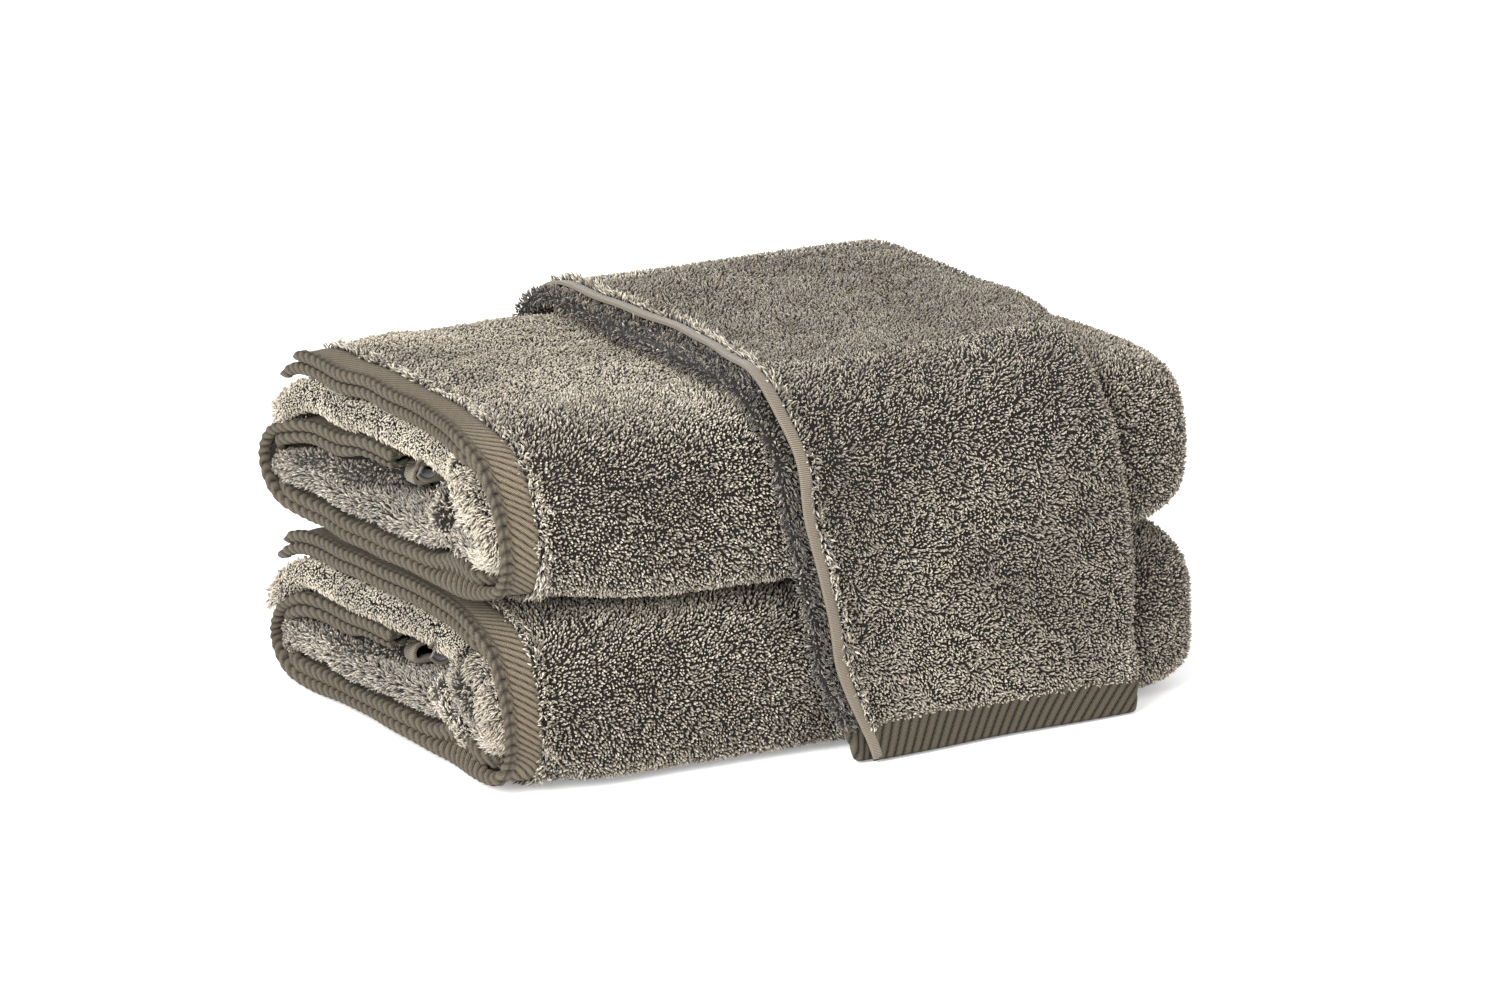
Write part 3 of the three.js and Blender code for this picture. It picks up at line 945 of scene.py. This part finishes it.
        # Painted light and shade: the end fold's loops are lighter where they face the light at the hemmed
        # end, and darker inside the pocket and along its back.
        turn = (nose - 26 * MM, nose_end)
        fold = [
            PilePatch(self.cloth, (early, stop(6)), turn, lambda s, u: s > self.starts(u) - 1 * MM,
                      (1.3, 0.0), lay=0.4, tone=0.13, vary=0.07, length=hairy, spacing=1.05 * MM, full=0.9),
            PilePatch(self.cloth, (early, early + 16 * MM), (nose - 16 * MM, nose + 12 * MM),
                      lambda s, u: s > self.starts(u) - 2 * MM, (-1.4, 0.0), lay=0.7, tone=0.15, vary=0.07,
                      length=6 * MM, spacing=1.2 * MM, full=0.9),
            PilePatch(self.cloth, (stop(6), stop(17)), (nose - 45 * MM, nose_end), pocket, (1.0, 0.0),
                      lay=0.6, tone=-0.12, vary=0.16, length=hairy, spacing=1.3 * MM, full=0.95),
            PilePatch(self.cloth, (stop(6.4), stop(12.3)), (nose, nose + 11 * MM), None, (0.3, -0.7),
                      lay=0.4, tone=0.1, vary=0.1, length=6.5 * MM, spacing=1.4 * MM),
            PilePatch(self.cloth, (stop(17), last), turn, lay=0.3, tone=-0.3, vary=0.2, spacing=1.7 * MM,
                      full=1.1),
        ]
        last_u = float(self.reach[-1]) - first
        # Painted shade: the loops between the layers at the hemmed end and inside the far end are darker.
        layers = [PilePatch(side, (early, stop(self.FREE) + 22 * MM), (begin, last_u), beside_tape,
                            (-1.3, 0.0), lay=0.8, tone=-0.1, length=6 * MM, spacing=2.6 * MM, full=1.4)
                  for side, begin in ((self.cloth, turn_end + 5 * MM), (other_side, first))]
        layers.append(PilePatch(self.cloth, (stop(self.BACK_TOP), last), (turn_end - 90 * MM, turn_end),
                                **self.INSIDE))
        layers.append(PilePatch(self.cloth, (stop(6), last), (turn_end - 5 * MM, turn_end + 120 * MM),
                                **self.INSIDE))
        front_top, front_bottom, floor_back = (
            stop(point) for point in (self.TOP_FRONT, self.FRONT_BOTTOM, self.FLOOR_BACK))
        middle = (free + front_top) / 2
        back_end = min(stop(self.BACK_TOP) + 12 * MM, last)
        fine, plain = 1.6 * MM, 2.1 * MM
        top = fine if self.prefix == "upper" else plain
        swept = {"lean": (0.8, -0.2), "vary": 0.08}
        return [
            outside("top_back", free, middle, 10, top, **swept),
            outside("top_front", middle, front_top, 20, top, **swept),
            outside("front", front_top, front_bottom, 30, fine, lay=0.35),
            outside("bottom", front_bottom, floor_back, 40, plain, lay=0.5),
            outside("back", floor_back, back_end, 50, plain, lay=0.5),
            Pile(f"{self.prefix}_end_fold_loops", self.seed + 60).grown_on(fold),
            Pile(f"{self.prefix}_inner_loops", self.seed + 90).grown_on(layers),
        ]

    def u_at_nose(self) -> float:
        """Returns u at the middle of the fold that shows at the hemmed end."""
        inner = (self.reach > 0.6) & (self.reach < 0.95)
        return float(self.reach[inner][np.argmin(self.path[inner, 0])])

    def crumple(self, name: str, spine: list[tuple[float, float, float, float]], tone: float,
                step: int) -> list[bpy.types.Object]:
        """Makes a tuck of the inner cloth that has worked loose in the pocket, with its loops.

        Args:
            name: the piece's name.
            spine: (x, y, z, radius) along the tuck in millimetres, from the hemmed end and the floor.
            tone: how much lighter its loops are than usual.
            step: keeps its unevenness apart from the others'.
        """
        line = curve_through(np.array(spine) * MM, 12)
        reach = running_length(line[:, :3])
        ripple = Ripple(self.seed + step, 14 * MM, 0.9 * MM)

        def cloth(a: Array, b: Array, h: Array) -> Array:
            """Wraps the loops' ground round the tuck, which swells and thins along its run."""
            x, y, z, radius = (np.interp(a, reach, column) for column in line.T)
            ahead = [np.interp(a + 1 * MM, reach, column) - np.interp(a - 1 * MM, reach, column)
                     for column in line.T[:3]]
            along = unit(np.stack(ahead, axis=-1))
            outward = unit(np.cross(along, np.array([0.0, 0.3, 1.0])))
            over = np.cross(along, outward)
            ends = np.sqrt(np.clip(1 - (2 * a / reach[-1] - 1) ** 6, 0.03, 1))
            angle = b / self.GIRTH
            spread = (radius * ends + h)[..., None]
            around = np.cos(angle)[..., None] * outward + np.sin(angle)[..., None] * over
            place = np.stack([x, y, z + self.lift], axis=-1) + spread * around
            place[..., 0] += self.size.skew * place[..., 1] - self.size.centre
            return place + ripple.at(place)

        a = np.linspace(0, reach[-1], 40)
        b = np.linspace(0, 2 * math.pi * self.GIRTH, 25)[:-1]
        grid = np.meshgrid(a, b, indexing="ij")
        points = cloth(grid[0].ravel(), grid[1].ravel(), np.zeros(grid[0].size))
        faces = np.vstack([grid_faces(len(a), len(b), True), ClothStrip.cap_faces(len(a), len(b))])
        base = mesh_piece(name + "_base", points, facing_out(points, faces),
                          uv=np.stack([g.ravel() for g in grid], axis=1))
        Finish.GROUND.apply(base)
        patch = PilePatch(cloth, (1 * MM, reach[-1] - 1 * MM), (0, 2 * math.pi * self.GIRTH), lay=0.8,
                          tone=tone, length=4.2 * MM, spacing=1.4 * MM)
        loops = Pile(name + "_loops", self.seed + step).grown_on([patch])
        return [base, loops]

    def rolled_hem(self, name: str, centre: tuple[float, float]) -> bpy.types.Object:
        """Makes the end of the tucked edge's side hem, which curls up into an open roll.

        Args:
            name: the piece's name.
            centre: the middle of the roll as (y, z) in millimetres, from the towel's middle and bottom.
        """
        outer, inner = 6.2 * MM, 4.2 * MM
        inward, sideways = (0.6, 0.8), (0.8, -0.6)
        ring = np.vstack([arc((0.0, 0.0), outer, -150, 160, 22), arc((0.0, 0.0), inner, 160, -150, 22)])

        y0, z0 = centre[0] * MM, self.lift + centre[1] * MM
        x0 = self.size.skew * y0 - self.size.centre + 3 * MM

        def cloth(a: Array, b: Array, h: Array) -> Array:
            """Runs inward from the hemmed end, at a slant."""
            x = x0 + inward[0] * a + sideways[0] * b
            y = y0 + inward[1] * a + sideways[1] * b
            points = np.stack([x, y, z0 + h], axis=-1)
            return points + self.own.at(points)

        # The inner face of the roll carries painted shade, near black, for the shadow inside it.
        painted_shade_inside = np.where(np.arange(len(ring)) < len(ring) // 2, 1.0, 0.0)
        strip = ClothStrip(cloth, (0.0, 20 * MM), ring, 1.5 * MM, blunt=True, tone=painted_shade_inside)
        return strip.build(name, Finish.TAPE)

    def build(self) -> None:
        prefix = self.prefix
        sheet = self.sheet(f"{prefix}_cloth", self.starts, self.sheet_end, 7.5 * MM)
        hems = [self.hem(f"{prefix}_{side}_twill_hem", side == "inner") for side in ("outer", "inner")]
        tapes = [self.tape(f"{prefix}_{edge}_side_hem_tape", edge == "free") for edge in ("free", "tucked")]
        loops = self.pile()
        body = f"{prefix}_bath_towel"
        roll = self.rolled_hem(f"{prefix}_rolled_hem_end", ROLLS[prefix])
        tucks = [self.crumple(f"{prefix}_tuck_{k + 1}", spine, 0.1 if k else -0.1, 70 + k)
                 for k, spine in enumerate(TUCKS[prefix])]
        others = [roll, *hems, *tapes, *loops, *(piece for tuck in tucks for piece in tuck)]
        for piece in [sheet, *others]:
            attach(piece, body)
        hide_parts(f"{prefix}_terry_body", f"{prefix}_end_fold")
        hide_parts(f"{prefix}_end_hem_outer")
        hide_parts(f"{prefix}_end_hem_inner")
        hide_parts(f"{prefix}_free_side_hem")
        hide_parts(f"{prefix}_rolled_side_hem")
        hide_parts(f"{prefix}_tucked_terry")


@dataclass(frozen=True)
class HandSize:
    """Sizes of the draped hand towel.

    Attributes:
        left: of its fold, from the hemmed end of the stack.
        width: once folded.
        setback: how much of the fold shows beside the top layer.
        half_depth: from the middle of the stack to its drop, front or back.
        top: height of its under side on the stack.
        front_radius: of its bend over the front of the stack.
        back_radius: of its bend over the back.
        floor_gap: between its lower edges and the surface.
        band: height of the twill bands at its ends.
        layers: the depths of its three layers, from the outer one in.
    """

    left: float = 126 * MM
    width: float = 168 * MM
    setback: float = 12 * MM
    half_depth: float = 136.2 * MM
    top: float = 178.6 * MM
    front_radius: float = 41.2 * MM
    back_radius: float = 40 * MM
    floor_gap: float = 0.6 * MM
    band: float = 20 * MM
    layers: tuple[float, float, float] = (-9.6 * MM, -6.0 * MM, -2.2 * MM)

    def curve(self) -> Array:
        """Returns its inner face: up the back, over the stack and down the front."""
        back, front, top = self.half_depth, self.half_depth, self.top
        rb, rf = self.back_radius, self.front_radius
        corners = np.vstack([
            [(back, self.floor_gap)], arc((back - rb, top - rb), rb, 0, 90, 12),
            arc((rf - front, top - rf), rf, 90, 180, 16), [(-front, self.floor_gap)],
        ])
        reach = running_length(corners)
        steps = np.linspace(0, reach[-1], 301)
        return np.stack([np.interp(steps, reach, column) for column in corners.T], axis=1)

    def fold_path(self) -> Array:
        """Returns the path of the cloth: top layer, right fold, bottom layer, left fold, middle layer."""
        outer, middle, inner = self.layers
        right, left = (outer - inner) / -2, (middle - inner) / -2
        far = self.left + self.width - right - 3.2 * MM
        near = self.left + left + 3.4 * MM
        return np.vstack([
            [(self.left + self.setback, outer)],
            arc((far, inner - right), right, -90, 90, 14),
            arc((near, inner - left), left, 90, 270, 10),
            [(far - 6 * MM, middle)],
        ])


# How the hand towel lies: distance from its back edge, and there its left fold, the edge of its
# top layer and its right fold, from the hemmed end of the stack, in millimetres.
EDGES = curve_through(np.array([
    (0, 150, 166, 352), (150, 146, 160, 352), (215, 140, 155, 352), (255, 134, 157, 352),
    (300, 125, 157, 351), (340, 120, 151, 342), (380, 119, 141, 327), (405, 120, 135, 320),
    (425, 123, 133.5, 318), (445, 127, 138, 322), (475, 134.5, 144, 327), (520, 143, 154, 334),
    (550, 151, 160, 333), (575, 158, 167, 331), (594, 162, 171, 330),
]) * MM, 6)


class HandTowel(FoldedCloth):
    """The hand towel: folded in three across its width and draped over the stack.

    FLARE is how far its front hem stands away from the stack, at its left and right ends, and
    BACK_RISE how much higher it lies towards the back.
    """

    FLAT = (0.56, 0.62)
    FLARE = (15 * MM, 5 * MM)
    BACK_RISE = 3 * MM
    DROP = 0.17

    def __init__(self) -> None:
        """Lays out the towel."""
        self.size = HandSize()
        super().__init__(self.size.fold_path(), self.FLAT)
        self.section = SectionCurve(self.size.curve(), 6)
        self.end = float(self.section.reach[-1])
        self.own = Ripple(91, 90 * MM, 0.5 * MM)

    def place(self, s: Array, x: Array, t: Array) -> Array:
        """Returns the places at s from the back edge, x from the hemmed end and t inside its inner face."""
        size = self.size
        index = np.interp(s, self.section.reach, np.arange(len(self.section.reach)))
        point, normal = self.section.at(index)
        over = (s - np.clip(s, 0, self.end))[..., None]
        yz = point + normal * t[..., None]
        yz = yz + over * np.array([0.0, -1.0]) * np.sign(over)
        y, z = yz[..., 0], yz[..., 1]
        across = (x - size.left) / size.width
        flare = self.FLARE[0] * (1 - across) + self.FLARE[1] * across
        y = y - flare * smoothstep((60 * MM - z) / (60 * MM)) * (y < 0)
        z = z + self.BACK_RISE * smoothstep(y / (90 * MM)) * smoothstep(z / (120 * MM))
        fold, edge, far = (np.interp(s, EDGES[:, 0], column) for column in EDGES.T[1:])
        inner = (x - size.left) / size.setback
        outer = (x - size.left - size.setback) / (size.width - size.setback)
        x = np.where(inner < 1, fold + (edge - fold) * inner, edge + (far - edge) * outer)
        points = np.stack([x - TowelSize.centre, y, z], axis=-1)
        own = self.own.at(points) * (0.25 + 0.75 * smoothstep((0.16 - z) / 0.05))[..., None]
        own[..., 2] *= 0.2
        return self.settled(points + own)

    def band(self, name: str, front: bool) -> bpy.types.Object:
        """Makes the twill band at one end, which is folded with the cloth."""
        section = flat_section(self.size.band, 3.0 * MM, 17)
        if front:
            cloth = lambda u, across, h: self.cloth(self.end - across, u, h)
        else:
            cloth = lambda u, across, h: self.cloth(across, u, h)
        strip = ClothStrip(cloth, (0.0, float(self.reach[-1])), section, 1.1 * MM,
                           rib=5.2 * MM, slant=-0.62, relief=0.8 * MM, tone=0.55)
        return strip.build(name, Finish.TWILL)

    def tape(self, name: str) -> bpy.types.Object:
        """Makes the pressed side hem along the edge of the top layer."""
        section = flat_section(6 * MM, 1.8 * MM, 6)
        cloth = lambda s, across, h: self.cloth(s, across - 0.5 * MM, h + 0.9 * MM)
        return ClothStrip(cloth, (1 * MM, self.end - 1 * MM), section, 2.2 * MM).build(name, Finish.TAPE)

    def build(self) -> None:
        size = self.size
        sheet = self.sheet("hand_cloth", lambda u: np.zeros_like(u), self.end, 6.0 * MM)
        tape = self.tape("hand_side_hem_tape")
        bands = [self.band("hand_front_twill_band", True), self.band("hand_back_twill_band", False)]
        low, high = size.band - 3 * MM, self.end - size.band + 3 * MM
        right = float(self.reach[np.argmax(self.path[:, 0])])
        nose = float(self.reach[np.argmin(self.path[:, 0])])
        top_u = (7 * MM, right + 5 * MM)
        back, shoulder = low, self.end - 0.20
        middle = (back + shoulder) / 2

        def stretch(name: str, begin: float, end: float, seed: int, tone: float) -> bpy.types.Object:
            """Grows the loops on one stretch of the top layer and along its left edge."""
            fine = seed > 501
            patch = PilePatch(self.cloth, (begin, end), top_u, lay=0.6, tone=tone, vary=0.1,
                              spacing=1.35 * MM if fine else 1.9 * MM, full=0.88 if fine else 1.15)
            fringe = PilePatch(self.cloth, (begin, end), (5.5 * MM, 9.5 * MM), lean=(0.0, -0.35), lay=0.5,
                               tone=0.05, vary=0.2, length=6.5 * MM, spacing=1.4 * MM, full=0.9)
            return Pile(name, seed).grown_on([patch, fringe])

        # Painted shade: the top stretch is darker than the back and front, for the light falling off there.
        loops = [
            stretch("hand_back_loops", back, middle, 501, 0.0),
            stretch("hand_top_loops", middle, shoulder, 502, -0.17),
            stretch("hand_front_loops", shoulder, high, 503, 0.02),
        ]
        # Painted shade: the loops along the fold under the top layer are darker, for the shade there.
        edge = PilePatch(self.cloth, (low, high), (nose - 14 * MM, nose + 15 * MM), lean=(0.4, 0.0), lay=0.5,
                         tone=-0.42, vary=0.2, length=4.5 * MM)
        loops.append(Pile("hand_fold_loops", 504).grown_on([edge]))
        drops = PilePatch(self.cloth, (low, high), (right + 8 * MM, nose - 14 * MM),
                          lambda s, u: (s < self.DROP) | (s > self.end - self.DROP), lay=0.8, length=2.4 * MM,
                          spacing=2.7 * MM, full=1.5)
        loops.append(Pile("hand_lining_loops", 505).grown_on([drops]))
        for piece in [sheet, tape, *bands, *loops]:
            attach(piece, "hand_towel")
        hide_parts("hand_under_fold", "hand_top_layer")
        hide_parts("hand_side_hem")
        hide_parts("hand_front_border", "hand_front_border_under")
        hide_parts("hand_back_border", "hand_back_border_under")


# ---------------------------------------------------------------- studio

@dataclass(frozen=True)
class Studio:
    """White sweep, soft lights and the camera, in metres and degrees."""

    target: tuple[float, float, float] = (0.0128, 0.0, 0.0913)
    distance: float = 4.5
    turn: float = 32.3
    rise: float = 13.6
    lens: float = 221.2
    key: float = 150.0
    fill: float = 12.0
    surround: float = 1.05
    glow: float = 0.28

    def build(self) -> None:
        """Places the floor, the lights and the camera."""
        scene = bpy.context.scene
        scene.view_settings.view_transform = "Standard"
        self.world()
        self.floor()
        self.light("key_softbox", self.key, (-2.3, -1.2, 1.35), 1.8)
        self.light("front_fill", self.fill, (-0.4, -2.6, 1.0), 0.8)
        camera = bpy.data.objects.new("camera", bpy.data.cameras.new("camera"))
        scene.collection.objects.link(camera)
        turn, rise = math.radians(self.turn), math.radians(self.rise)
        away = (-math.sin(turn) * math.cos(rise), -math.cos(turn) * math.cos(rise), math.sin(rise))
        camera.location = [t + self.distance * a for t, a in zip(self.target, away)]
        camera.rotation_euler = (math.pi / 2 - rise, 0.0, -turn)
        camera.data.lens = self.lens
        camera.data.clip_end = 20
        scene.camera = camera

    def world(self) -> None:
        """Makes an even white surrounding."""
        world = bpy.data.worlds.new("white_studio")
        world.use_nodes = True
        background = world.node_tree.nodes["Background"]
        background.inputs["Color"].default_value = (1.0, 1.0, 1.0, 1.0)
        background.inputs["Strength"].default_value = self.surround
        bpy.context.scene.world = world

    def floor(self) -> None:
        """Lays the white paper that the stack stands on."""
        bpy.ops.mesh.primitive_plane_add(size=30.0, location=(0.0, 0.0, -0.0005))
        floor = bpy.context.object
        floor.name = "studio_floor"
        material = bpy.data.materials.new("white_sweep_paper")
        material.use_nodes = True
        shader = material.node_tree.nodes["Principled BSDF"]
        shader.inputs["Base Color"].default_value = (0.93, 0.93, 0.93, 1.0)
        shader.inputs["Roughness"].default_value = 0.9
        shader.inputs["Emission Color"].default_value = (1.0, 1.0, 1.0, 1.0)
        shader.inputs["Emission Strength"].default_value = self.glow
        floor.data.materials.append(material)
        floor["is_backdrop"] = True

    def light(self, name: str, power: float, place: tuple[float, float, float], size: float) -> None:
        """Hangs a square softbox that faces the stack."""
        data = bpy.data.lights.new(name, "AREA")
        data.energy = power
        data.size = size
        lamp = bpy.data.objects.new(name, data)
        bpy.context.scene.collection.objects.link(lamp)
        lamp.location = place
        towards = np.array(self.target) - np.array(place)
        lamp.rotation_euler = (math.atan2(math.hypot(*towards[:2]), -towards[2]), 0.0,
                               math.atan2(towards[1], towards[0]) - math.pi / 2)
        lamp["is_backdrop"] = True


def main() -> None:
    """Builds the set."""
    logging.basicConfig(level=logging.INFO, format="%(name)s: %(message)s")
    reach = (16 * MM, 26 * MM, 40 * MM, 47 * MM)
    lower = BathTowel("lower", TowelSize(length=390 * MM, stagger=reach), LOWER_END, 0.0, 100)
    upper = BathTowel("upper", TowelSize(length=386 * MM), UPPER_END, 89.0 * MM, 300)
    lower.build()
    upper.build()
    HandTowel().build()
    Studio().build()
    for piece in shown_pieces():
        LOG.info("%s", piece)


# The middle of each rolled hem end: (y, z) in millimetres.
ROLLS = {"lower": (-51, 54), "upper": (-38, 51)}

# The loose tucks in each pocket: (x, y, z, radius) in millimetres.
TUCKS = {
    "lower": [
        [(16, -62, 48, 6), (9, -72, 46, 8), (7, -84, 43, 9), (8, -95, 37, 8), (12, -102, 28, 6)],
        [(14, -44, 38, 6), (8, -58, 34, 8), (8, -70, 26, 8), (10, -84, 18, 6)],
        [(8, -97, 50, 5), (6, -102, 40, 5), (8, -103, 28, 5), (12, -98, 18, 5)],
    ],
    "upper": [
        [(14, -44, 42, 6), (8, -54, 36, 8), (8, -66, 28, 8), (12, -82, 19, 6)],
        [(12, -64, 68, 4), (7, -72, 60, 5), (5, -79, 48, 5.5), (6, -87, 37, 5.5), (10, -96, 26, 5)],
    ],
}


if __name__ == "__main__":
    main()
    bpy.context.view_layer.update()
